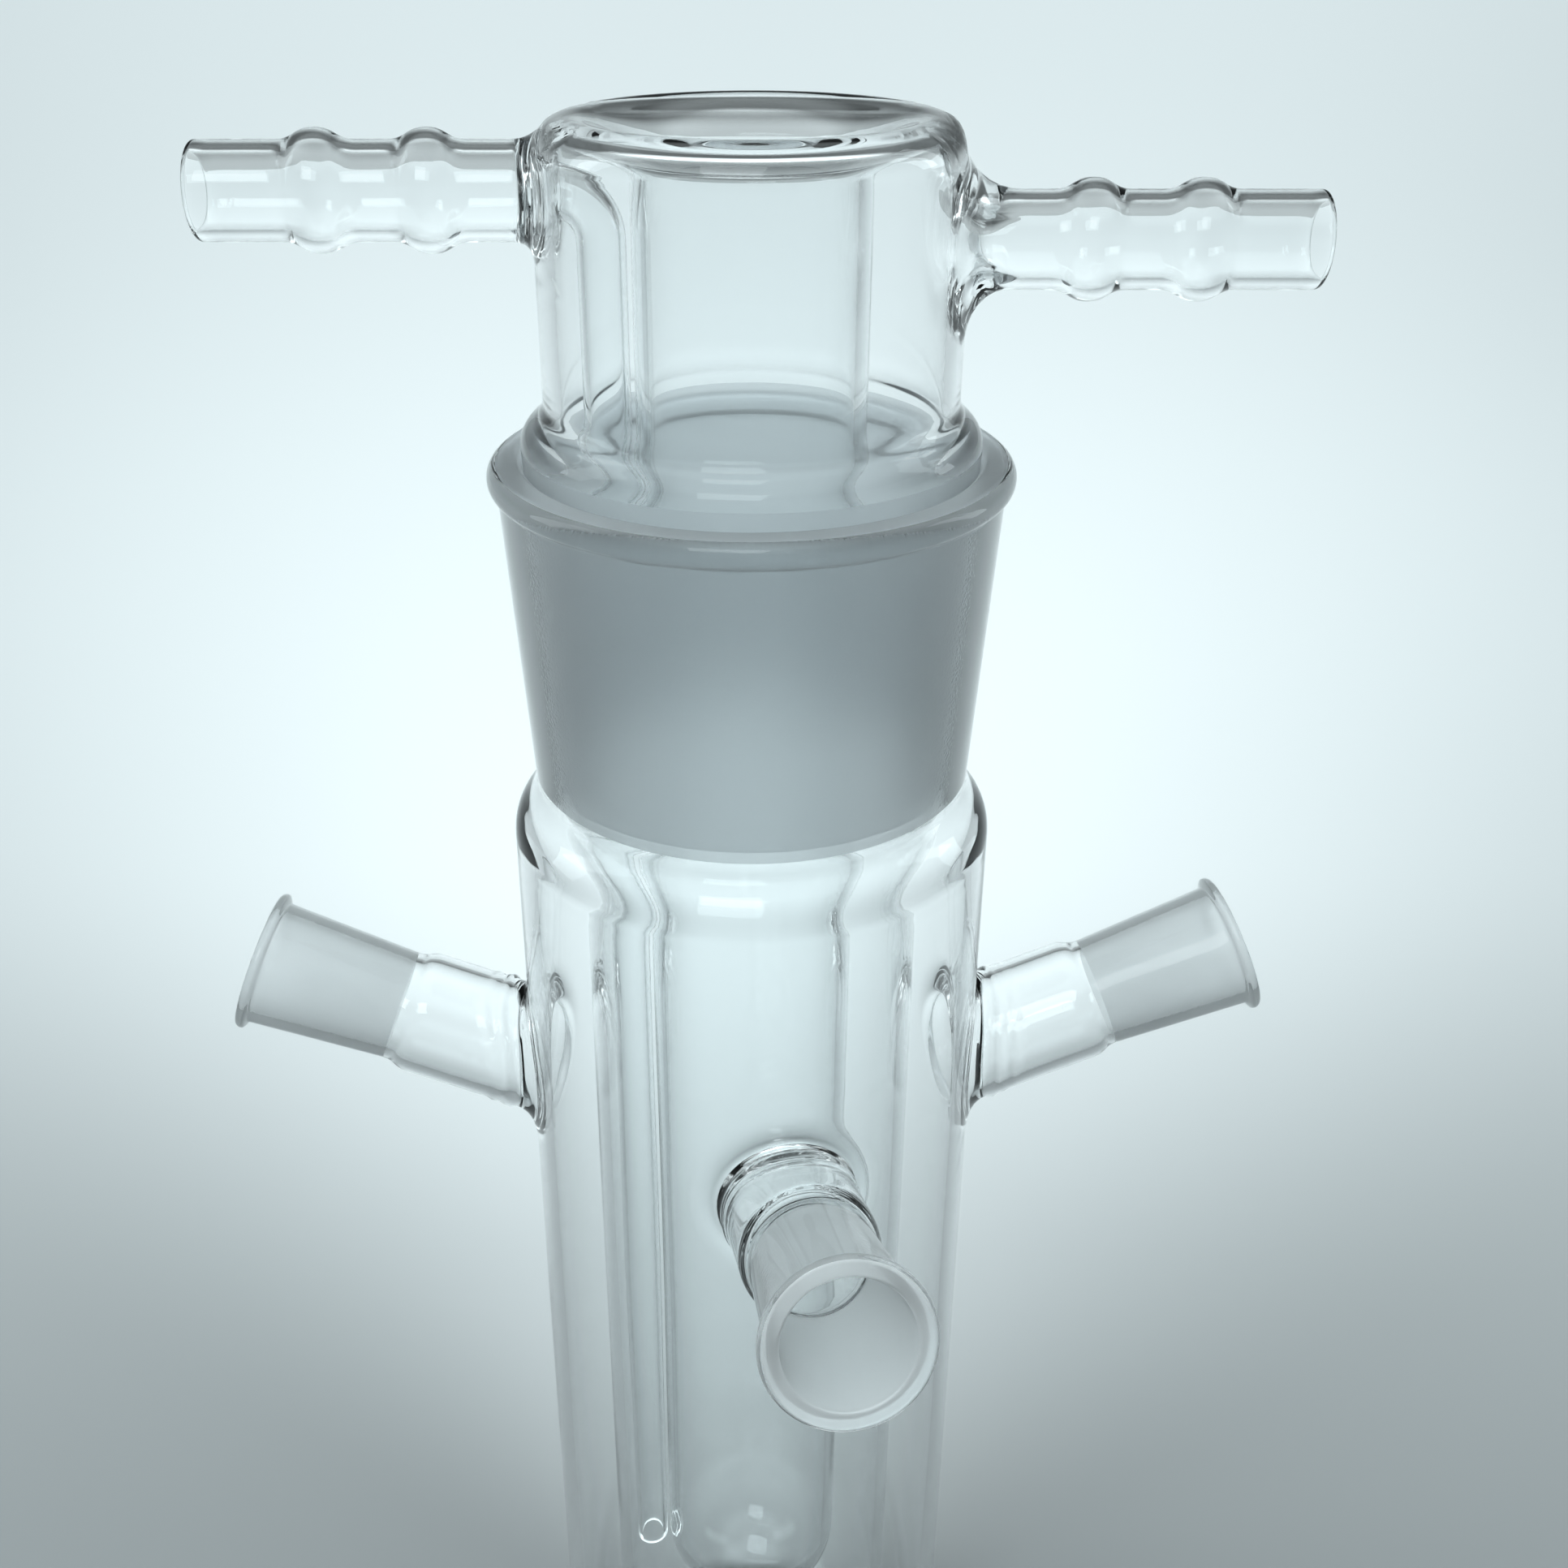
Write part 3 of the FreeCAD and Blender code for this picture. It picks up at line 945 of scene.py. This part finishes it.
@dataclass
class Well:
    """Lamp well: ring seal, head, ground cone, jacket, lamp tube and two hose barbs."""

    finishes: list[bpy.types.Material]
    window_turn: float = math.radians(30.0)
    window_columns: int = 24
    straight_rows: dict[str, int] = field(default_factory=lambda: {"inlet": 20, "outlet": 34})
    arc_rows: int = 8
    head_rows: int = 34
    row_pitch: float = 0.725 * MM
    spreads: dict[str, float] = field(default_factory=lambda: {"inlet": 2.8 * MM, "outlet": 9.0 * MM})
    inner_spreads: dict[str, float] = field(default_factory=lambda: {"inlet": 0.9 * MM, "outlet": 5.5 * MM})
    inner_rises: dict[str, float] = field(default_factory=lambda: {"inlet": 0.7 * MM, "outlet": 4.5 * MM})
    rises: dict[str, float] = field(default_factory=lambda: {"inlet": 2.6 * MM, "outlet": 6.4 * MM})
    olive_from_tip: float = 15.2 * MM
    olive_pitch: float = 13.6 * MM
    olive_half: float = 4.8 * MM
    seal_fullness: float = 0.42
    pitch: float = math.radians(2.5)
    tip_depth: float = 0.6 * MM
    tip_length: float = 10.0 * MM
    past_root: float = 0.8 * MM
    past_inner_root: float = 0.4 * MM
    bore_ease: float = 1.5 * MM
    dome_rows: int = 24
    jacket_rows: int = 14
    sway_rows: int = 12
    cone_rows: int = 20
    cone_inner_rows: int = 14
    throat_rows: int = 6
    seal_rows: int = 16
    lamp_rows: int = 20
    lamp_dome_rows: int = 18
    olive_rows: int = 10

    def gauges(self) -> tuple[Gauge, ...]:
        """Measure the well's CAD pieces.

        Returns:
            Gauges of the cone, its foot and top, the head, its straight wall, the jacket's dome and tube,
            the ring seal and the lamp tube.
        """
        cone, head = Gauge.of("ground_cone"), Gauge.of("head_tube")
        foot = Gauge.of("ground_cone", high=cone.low)
        top = Gauge.of("ground_cone", low=cone.high)
        wall = Gauge.of("head_tube", low=head.high)
        plain = [Gauge.of(node) for node in ("jacket_dome", "jacket_tube", "ring_seal", "lamp_tube")]
        return cone, foot, top, head, wall, *plain

    def outer_outline(self) -> Outline:
        """Rows of the air side, from the jacket's foot over the ridge to the lamp tube's foot.

        Returns:
            The outline, with its ground band and the head's first row marked.
        """
        cone, foot, top, head, wall, dome, jacket, seal, lamp = self.gauges()
        flare = self.flare_top()
        bend = seal.high - head.high
        ridge = wall.outer - bend
        start = head.high - self.head_rows * self.row_pitch
        run = (ridge - lamp.inner) * self.seal_fullness
        drop = (seal.high - lamp.high) * self.seal_fullness
        rows = Outline(0.0, dome.low)
        rows.arc((0.0, dome.high), dome.outer, -90, 0, self.dome_rows)
        rows.line(jacket.outer, jacket.high, self.jacket_rows)
        rows.sway(foot.outer, cone.low, self.sway_rows).mark("ground_foot")
        rows.line(top.outer, cone.high, self.cone_rows).mark("ground_top")
        rows.sway(wall.outer, flare, self.sway_rows).line(wall.outer, start, self.throat_rows).mark("head")
        rows.line(wall.outer, head.high, self.head_rows)
        rows.arc((ridge, head.high), bend, 0, 90, self.arc_rows)
        fall = [(ridge - run, seal.high), (lamp.inner, lamp.high + drop), (lamp.inner, lamp.high)]
        rows.curve(fall, self.seal_rows).line(lamp.inner, lamp.low, self.lamp_rows)
        return rows.arc((0.0, lamp.low), lamp.inner, 0, -90, self.lamp_dome_rows)

    def inner_outline(self) -> Outline:
        """Rows of the water side, from the jacket's floor under the seal to the lamp tube's floor.

        Returns:
            The outline, with the head's first row marked.
        """
        cone, foot, top, head, wall, dome, jacket, seal, lamp = self.gauges()
        flare = self.flare_top()
        thick = wall.outer - wall.inner
        bend = seal.high - head.high
        ridge = wall.outer - bend
        under = seal.high - thick
        start = head.high - self.head_rows * self.row_pitch
        run = (ridge - lamp.outer) * self.seal_fullness
        drop = (under - lamp.high) * self.seal_fullness
        rows = Outline(0.0, dome.high - jacket.inner)
        rows.arc((0.0, dome.high), jacket.inner, -90, 0, self.dome_rows)
        rows.line(jacket.inner, jacket.high, self.jacket_rows)
        rows.sway(foot.inner, cone.low, self.sway_rows).line(top.inner, cone.high, self.cone_inner_rows)
        rows.sway(wall.inner, flare, self.sway_rows).line(wall.inner, start, self.throat_rows).mark("head")
        rows.line(wall.inner, head.high, self.head_rows)
        rows.arc((ridge, head.high), bend - thick, 0, 90, self.arc_rows)
        fall = [(ridge - run, under), (lamp.outer, lamp.high + drop), (lamp.outer, lamp.high)]
        rows.curve(fall, self.seal_rows).line(lamp.outer, lamp.low, self.lamp_rows)
        return rows.arc((0.0, lamp.low), lamp.outer, 0, -90, self.lamp_dome_rows)

    def flare_top(self) -> float:
        """Look for the foot of the head's straight wall.

        Returns:
            The height at which the wall starts to flare.
        """
        points = node_points("head_tube")
        outer = Gauge.of("head_tube", low=Gauge.of("head_tube").high).outer
        straight = points[np.abs(np.hypot(points[:, 0], points[:, 1]) - outer) < SLACK]
        return float(straight[:, 2].min())

    def barb_outline(
        self, tip: float, tube: Gauge, olive: float, first: float, last: tuple[float, float]
    ) -> Outline:
        """Rows of a hose barb from its outer root, round its tip, to its inner root.

        Args:
            tip: Distance along the axis to the tip.
            tube: Gauge of the plain tube.
            olive: Radius of an olive's belly.
            first: Distance of the first row.
            last: Radius and distance of the last row.

        Returns:
            The outline.
        """
        half = (tube.outer - tube.inner) / 2
        middle = (tube.outer + tube.inner) / 2
        belly = olive - 2 * half
        centres = [tip - self.olive_from_tip - self.olive_pitch, tip - self.olive_from_tip]
        rows = Outline(tube.outer, first)
        for centre in centres:
            rows.line(tube.outer, centre - self.olive_half, 4)
            rows.sway(olive, centre, self.olive_rows)
            rows.sway(tube.outer, centre + self.olive_half, self.olive_rows)
        rows.line(tube.outer, tip - half, 8).arc((middle, tip - half), half, 0, 180, self.olive_rows)
        for centre in reversed(centres):
            rows.line(tube.inner, centre + self.olive_half, 6)
            rows.sway(belly, centre, self.olive_rows)
            rows.sway(tube.inner, centre - self.olive_half, self.olive_rows)
        rows.line(tube.inner, last[1] + self.bore_ease, 4)
        rows.sway(last[0], last[1], 6)
        return rows

    def build(self) -> bpy.types.Object:
        """Blow the well in one piece.

        Returns:
            The well's object.
        """
        half, inside = self.window_turn, self.window_columns
        turns, firsts = columns_with_windows([math.pi, 0.0], half, inside, self.pitch)
        outer_wall = TurnedWall(self.outer_outline(), turns)
        inner_wall = TurnedWall(self.inner_outline(), turns)
        shell = Shell()
        plans = []
        for (name, direction), first in zip((("inlet", -1.0), ("outlet", 1.0)), firsts):
            rows = self.straight_rows[name] + self.arc_rows
            windows = []
            for wall in (outer_wall, inner_wall):
                row = wall.marks["head"] + self.head_rows - self.straight_rows[name]
                windows.append(Window(row, rows, first, self.window_columns))
                wall.windows.append(windows[-1])
            plans.append((name, direction, windows))
        outer_wall.build(shell, [("ground_foot", "ground_top")])
        inner_wall.build(shell, [])
        head = Gauge.of("head_tube", low=Gauge.of("head_tube").high)
        low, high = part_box("dip_tube")
        dip = Gauge.of("dip_tube", Axis(np.array([(low.x + high.x) / 2, 0.0, 0.0]), UPRIGHT.direction))
        for name, direction, windows in plans:
            low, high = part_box(name + "_barb")
            axis = Axis(np.array([0.0, 0.0, (low.z + high.z) / 2]), np.array([direction, 0.0, 0.0]))
            whole = Gauge.of(name + "_barb", axis)
            plain = (whole.high - self.tip_length, whole.high - self.tip_depth)
            tube = Gauge.of(name + "_barb", axis, *plain)
            bore = dip.inner if name == "inlet" else tube.inner
            spread, rise = self.spreads[name], self.rises[name]
            inner_spread, inner_rise = self.inner_spreads[name], self.inner_rises[name]
            outer = Root(outer_wall, windows[0], axis, tube.outer, spread, rise)
            inner = Root(inner_wall, windows[1], axis, bore, inner_spread, inner_rise)
            first = head.outer + rise + self.past_root
            last = (bore, head.inner + inner_rise + self.past_inner_root)
            outline = self.barb_outline(whole.high, tube, whole.outer, first, last)
            branch(shell, outer, inner, outline, (0, 0))
        return shell.to_object("well_glass", self.finishes)


# ---------------------------------------------------------------- the dip tube


@dataclass
class DipTube:
    """Water tube that bends down from the inlet to the bottom of the jacket."""

    finish: bpy.types.Material
    wall: float = 0.9 * MM
    bend_steps: int = 20
    round_steps: int = 48
    sharp_turn: float = 40.0
    inset: float = 0.04 * MM

    def tree(self) -> bpy.types.GeometryNodeTree:
        """Node tree that sweeps a round tube along a filleted path.

        Returns:
            The tree, with inputs for its bend, radius and finish.
        """
        tree = bpy.data.node_groups.new("bent_tube", "GeometryNodeTree")
        tree.interface.new_socket("Geometry", in_out="INPUT", socket_type="NodeSocketGeometry")
        for name in ("Bend Radius", "Tube Radius"):
            tree.interface.new_socket(name, in_out="INPUT", socket_type="NodeSocketFloat")
        tree.interface.new_socket("Finish", in_out="INPUT", socket_type="NodeSocketMaterial")
        tree.interface.new_socket("Geometry", in_out="OUTPUT", socket_type="NodeSocketGeometry")
        nodes, links = tree.nodes, tree.links
        source = nodes.new("NodeGroupInput")
        target = nodes.new("NodeGroupOutput")
        path = nodes.new("GeometryNodeMeshToCurve")
        fillet = nodes.new("GeometryNodeFilletCurve")
        ring = nodes.new("GeometryNodeCurvePrimitiveCircle")
        sweep = nodes.new("GeometryNodeCurveToMesh")
        smooth = nodes.new("GeometryNodeSetShadeSmooth")
        real = nodes.new("GeometryNodeRealizeInstances")
        dress = nodes.new("GeometryNodeSetMaterial")
        fillet.mode = "POLY"
        fillet.inputs["Count"].default_value = self.bend_steps
        ring.inputs["Resolution"].default_value = self.round_steps
        links.new(source.outputs["Geometry"], path.inputs["Mesh"])
        links.new(path.outputs["Curve"], fillet.inputs["Curve"])
        links.new(source.outputs["Bend Radius"], fillet.inputs["Radius"])
        links.new(source.outputs["Tube Radius"], ring.inputs["Radius"])
        links.new(fillet.outputs["Curve"], sweep.inputs["Curve"])
        links.new(ring.outputs["Curve"], sweep.inputs["Profile Curve"])
        links.new(sweep.outputs["Mesh"], smooth.inputs["Geometry"])
        links.new(smooth.outputs["Geometry"], real.inputs["Geometry"])
        links.new(real.outputs["Geometry"], dress.inputs["Geometry"])
        links.new(source.outputs["Finish"], dress.inputs["Material"])
        links.new(dress.outputs["Geometry"], target.inputs["Geometry"])
        return tree

    def build(self) -> bpy.types.Object:
        """Sweep and hollow the tube.

        Returns:
            The tube's object.
        """
        low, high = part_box("dip_tube")
        elbow_low, elbow_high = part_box("dip_elbow")
        radius = (high.x - low.x) / 2
        x = (low.x + high.x) / 2
        level = elbow_high.z - radius
        bend = level - elbow_low.z
        start = elbow_low.x + self.inset
        mesh = bpy.data.meshes.new("dip_path")
        mesh.from_pydata([(start, 0, level), (x, 0, level), (x, 0, low.z)], [(0, 1), (1, 2)], [])
        holder = adopt("dip_path", mesh)
        swept = holder.modifiers.new("sweep", "NODES")
        tree = self.tree()
        values = {"Bend Radius": min(bend, x - start), "Tube Radius": radius, "Finish": self.finish}
        swept.node_group = tree
        for item in tree.interface.items_tree:
            if item.in_out == "INPUT" and item.name in values:
                swept[item.identifier] = values[item.name]
        tube = plain_mesh(holder, "dip_tube_glass")
        hollow = tube.modifiers.new("hollow", "SOLIDIFY")
        hollow.thickness = self.wall
        hollow.offset = -1.0
        made = plain_mesh(tube, "dip_tube_glass")
        made.data.set_sharp_from_angle(angle=math.radians(self.sharp_turn))
        return made


def plain_mesh(source: bpy.types.Object, name: str) -> bpy.types.Object:
    """Bake an object's modifiers into a new object and drop the old one.

    Args:
        source: Object with modifiers.
        name: Name of the new object.

    Returns:
        The new object, at the origin.
    """
    graph = bpy.context.evaluated_depsgraph_get()
    mesh = bpy.data.meshes.new_from_object(source.evaluated_get(graph))
    bpy.data.objects.remove(source)
    mesh.name = name
    work = bmesh.new()
    work.from_mesh(mesh)
    bmesh.ops.recalc_face_normals(work, faces=work.faces)
    work.to_mesh(mesh)
    work.free()
    mesh.polygons.foreach_set("use_smooth", [True] * len(mesh.polygons))
    return adopt(name, mesh)


# ---------------------------------------------------------------- the room


@dataclass
class Studio:
    """Pale floor with painted shade to its sides and front, soft light and the camera."""

    floor_size: float = 14.0
    eye: tuple[float, float, float] = (0.0, -0.2227, 0.3275)
    pitch: float = 28.08
    lens: float = 40.06
    shift: float = 0.0207
    sensor: float = 36.0
    nearest: float = 0.01
    pale: tuple[float, float, float] = (0.865, 0.88, 0.885)
    # Painted shade on the floor: its colour is mixed towards this dark one, by side_shade to the sides past
    # side_turns and by front_shade in front of front_reach.
    dark: tuple[float, float, float] = (0.0, 0.004, 0.006)
    matt: float = 0.9
    floor_drop: float = 0.0002
    side_turns: tuple[float, float] = (8.0, 60.0)
    side_shade: float = 0.55
    front_reach: tuple[float, float] = (-0.04, 0.34)
    front_shade: float = 0.5
    aim: tuple[float, float, float] = (0.0, 0.0, 0.16)
    lamp_tint: tuple[float, float, float] = (0.87, 0.975, 1.0)
    sky_tint: tuple[float, float, float] = (0.87, 0.985, 1.01)
    sky_stops: tuple[tuple[float, float], ...] = ((0.0, 0.26), (0.3, 0.05), (0.62, 0.06), (0.84, 1.0))
    sky_strength: float = 1.95

    def floor_material(self) -> bpy.types.Material:
        """Pale paper with painted shade: its colour is graded darker to the sides and the front of the object,
        leaving a painted pool of light behind it.

        Returns:
            The material.
        """
        material = PlainFinish("floor_painted_shade", self.pale, self.matt).material()
        nodes, links = material.node_tree.nodes, material.node_tree.links
        # Painted shade: the floor's colour runs from pale behind the object to dark at its sides and front, a
        # painted pool of light rather than one cast by the lamps.
        place = nodes.new("ShaderNodeTexCoord")
        split = nodes.new("ShaderNodeSeparateXYZ")
        turn = nodes.new("ShaderNodeMath")
        across = nodes.new("ShaderNodeMath")
        sides = nodes.new("ShaderNodeMapRange")
        front = nodes.new("ShaderNodeMapRange")
        shade = nodes.new("ShaderNodeMath")
        tint = nodes.new("ShaderNodeMix")
        across.operation = "ABSOLUTE"
        turn.operation = "ARCTAN2"
        sides.interpolation_type = "SMOOTHSTEP"
        sides.inputs["From Min"].default_value = math.radians(self.side_turns[0])
        sides.inputs["From Max"].default_value = math.radians(self.side_turns[1])
        sides.inputs["To Min"].default_value = 1.0
        sides.inputs["To Max"].default_value = self.side_shade
        front.interpolation_type = "SMOOTHSTEP"
        front.inputs["From Min"].default_value = self.front_reach[0]
        front.inputs["From Max"].default_value = self.front_reach[1]
        front.inputs["To Min"].default_value = self.front_shade
        front.inputs["To Max"].default_value = 1.0
        shade.operation = "MULTIPLY"
        tint.data_type = "RGBA"
        tint.inputs[6].default_value = (*self.dark, 1.0)
        tint.inputs[7].default_value = (*self.pale, 1.0)
        links.new(place.outputs["Object"], split.inputs["Vector"])
        links.new(split.outputs["X"], across.inputs[0])
        links.new(across.outputs[0], turn.inputs[0])
        links.new(split.outputs["Y"], turn.inputs[1])
        links.new(turn.outputs[0], sides.inputs["Value"])
        links.new(split.outputs["Y"], front.inputs["Value"])
        links.new(sides.outputs["Result"], shade.inputs[0])
        links.new(front.outputs["Result"], shade.inputs[1])
        links.new(shade.outputs[0], tint.inputs[0])
        links.new(tint.outputs[2], nodes["Principled BSDF"].inputs["Base Color"])
        return material

    def floor(self) -> bpy.types.Object:
        """Lay the floor.

        Returns:
            The floor's object.
        """
        half = self.floor_size / 2
        mesh = bpy.data.meshes.new("floor")
        corners = [(-half, -half, 0), (half, -half, 0), (half, half, 0), (-half, half, 0)]
        mesh.from_pydata(corners, [], [(0, 1, 2, 3)])
        mesh.materials.append(self.floor_material())
        made = adopt("floor", mesh)
        made.location.z = -self.floor_drop
        return made

    def light(
        self, name: str, place: tuple[float, float, float], size: tuple[float, float], power: float
    ) -> None:
        """Hang a soft rectangular light that faces the object.

        Args:
            name: Name of the light.
            place: Where its middle hangs.
            size: Width and height.
            power: Power in watts.
        """
        data = bpy.data.lights.new(name, "AREA")
        data.shape = "RECTANGLE"
        data.size, data.size_y = size
        data.energy = power
        data.color = self.lamp_tint
        lamp = adopt(name, data)
        lamp.location = place
        aim = np.array(self.aim) - np.array(place)
        lamp.rotation_euler = (
            math.atan2(math.hypot(aim[0], aim[1]), -aim[2]),
            0.0,
            math.atan2(aim[1], aim[0]) - math.pi / 2,
        )

    def world(self) -> None:
        """Light the room from overhead, with darker walls."""
        world = bpy.data.worlds.new("studio")
        world.use_nodes = True
        nodes, links = world.node_tree.nodes, world.node_tree.links
        place = nodes.new("ShaderNodeTexCoord")
        split = nodes.new("ShaderNodeSeparateXYZ")
        ramp = nodes.new("ShaderNodeValToRGB")
        links.new(place.outputs["Generated"], split.inputs["Vector"])
        links.new(split.outputs["Z"], ramp.inputs["Fac"])
        ramp.color_ramp.interpolation = "EASE"
        for height, _ in self.sky_stops[2:]:
            ramp.color_ramp.elements.new(height)
        for element, (height, level) in zip(ramp.color_ramp.elements, self.sky_stops):
            element.position = height
            element.color = (*(level * part for part in self.sky_tint), 1.0)
        links.new(ramp.outputs["Color"], nodes["Background"].inputs["Color"])
        nodes["Background"].inputs["Strength"].default_value = self.sky_strength
        bpy.context.scene.world = world

    def camera(self) -> None:
        """Set the camera."""
        data = bpy.data.cameras.new("camera")
        data.lens = self.lens
        data.sensor_width = self.sensor
        data.shift_x = self.shift
        data.clip_start = self.nearest
        made = adopt("camera", data)
        made.location = self.eye
        made.rotation_euler = (math.radians(90 - self.pitch), 0, 0)
        bpy.context.scene.camera = made

    def build(self) -> None:
        """Set up the room."""
        self.floor()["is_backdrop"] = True
        self.world()
        self.light("left_box", (-0.9, 0.1, 0.75), (0.3, 0.8), 2.5)
        self.light("right_box", (0.95, 0.3, 0.7), (0.25, 0.8), 2.0)
        self.light("front_box", (-0.15, -0.75, 0.95), (0.5, 0.4), 4.0)
        self.camera()
        cycles = bpy.context.scene.cycles
        cycles.max_bounces = 40
        cycles.transmission_bounces = 36
        cycles.glossy_bounces = 12
        cycles.diffuse_bounces = 3
        cycles.sample_clamp_indirect = 6.0
        bpy.context.scene.view_settings.view_transform = "Standard"


# ---------------------------------------------------------------- the whole


VESSEL_NODES = ("vessel_base", "vessel_wall", "vessel_shoulder", "main_socket", "main_socket_bead")
NECK_NODES = ("_neck_tube", "_neck_socket", "_neck_weld")
WELL_NODES = (
    "ring_seal", "head_tube", "ground_cone", "jacket_step", "jacket_tube", "jacket_dome", "lamp_tube",
    "lamp_dome", "inlet_barb", "outlet_barb", "inlet_weld", "outlet_weld",
)


def main() -> None:
    """Build the pieces, dress them, attach them to their bodies and hide the CAD nodes they stand in for."""
    logging.basicConfig(level=logging.INFO, format="%(name)s: %(message)s")
    ripple = GlassRipple()
    finishes = [finish.material(ripple) for finish in (CLEAR_GLASS, GROUND_GLASS, FINE_GROUND_GLASS)]
    vessel = Vessel(finishes)
    body = vessel.build()
    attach(body, "vessel")
    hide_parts(*VESSEL_NODES, *(side + node for side in vessel.sides for node in NECK_NODES))
    well = Well(finishes).build()
    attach(well, "well")
    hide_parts(*WELL_NODES)
    dip = DipTube(finishes[Finish.CLEAR.value]).build()
    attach(dip, "well")
    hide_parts("dip_elbow", "dip_tube")
    Studio().build()
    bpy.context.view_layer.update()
    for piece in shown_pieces():
        LOG.info("piece %s", piece.name)


if __name__ == "__main__":
    main()
